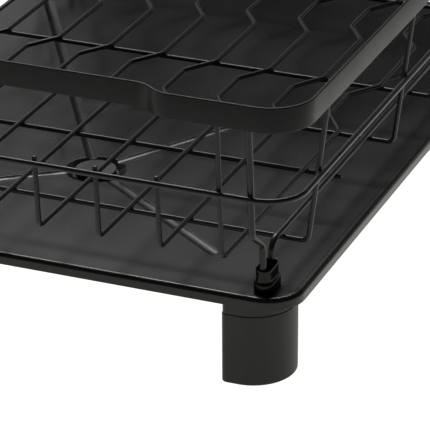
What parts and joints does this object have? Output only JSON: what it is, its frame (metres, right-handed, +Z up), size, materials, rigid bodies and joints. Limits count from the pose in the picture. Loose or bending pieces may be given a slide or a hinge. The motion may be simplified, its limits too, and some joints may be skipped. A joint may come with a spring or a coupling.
{
  "type": "dish drying rack",
  "caption": "Black wire dish basket with a flat steel rim band and rubber boots, standing in a drip tray with a sunk drain, a swivel spout and four plastic legs.",
  "frame": {"origin": "on the floor, at the middle of the rack's outline", "axes": "+X to the right, +Y from the front to the back, along the rack's length, +Z up"},
  "size_m": [0.3988, 0.523, 0.1925],
  "materials": {
    "tray_plastic": "satin black moulding",
    "leg_plastic": "fine matte black moulding",
    "pad_rubber": "matte black rubber",
    "boot_rubber": "smooth, slightly glossy black rubber",
    "band_coat": "satin black powder coat on steel strip",
    "wire_coat": "glossy black coat on steel wire"
  },
  "bodies": {
    "tray": {"drip_tray": "tray_plastic", "leg_front_right": "leg_plastic", "leg_front_left": "leg_plastic", "leg_back_right": "leg_plastic", "leg_back_left": "leg_plastic", "pad_front_right": "pad_rubber", "pad_front_left": "pad_rubber", "pad_back_right": "pad_rubber", "pad_back_left": "pad_rubber", "spout_seal": "pad_rubber"},
    "basket": {"rim_band": "band_coat", "rim_wire": "wire_coat", "loop_right": "wire_coat", "loop_left": "wire_coat", "long_wire_1": "wire_coat", "long_wire_2": "wire_coat", "long_wire_3": "wire_coat", "long_wire_4": "wire_coat", "long_wire_5": "wire_coat", "long_wire_6": "wire_coat", "long_wire_7": "wire_coat", "long_wire_8": "wire_coat", "cross_wire_front": "wire_coat", "cross_wire_short": "wire_coat", "cross_wire_mid_front": "wire_coat", "cross_wire_mid_back": "wire_coat", "cross_wire_back": "wire_coat", "boot_front_right": "boot_rubber", "boot_front_left": "boot_rubber", "boot_back_right": "boot_rubber", "boot_back_left": "boot_rubber"},
    "spout": {"drain_spout": "leg_plastic"},
    "strainer": {"strainer": "leg_plastic"}
  },
  "joints": [
    {"name": "basket_lift", "type": "slide", "parent": "tray", "child": "basket", "axis": [0, 0, 1], "range_m": [0, 0.12]},
    {"name": "spout_swivel", "type": "hinge", "parent": "tray", "child": "spout", "pos_m": [0, -0.1095, 0.048], "axis": [0, 0, 1], "continuous": true},
    {"name": "strainer_lift", "type": "slide", "parent": "tray", "child": "strainer", "axis": [0, 0, 1], "range_m": [0, 0.014]}
  ]
}
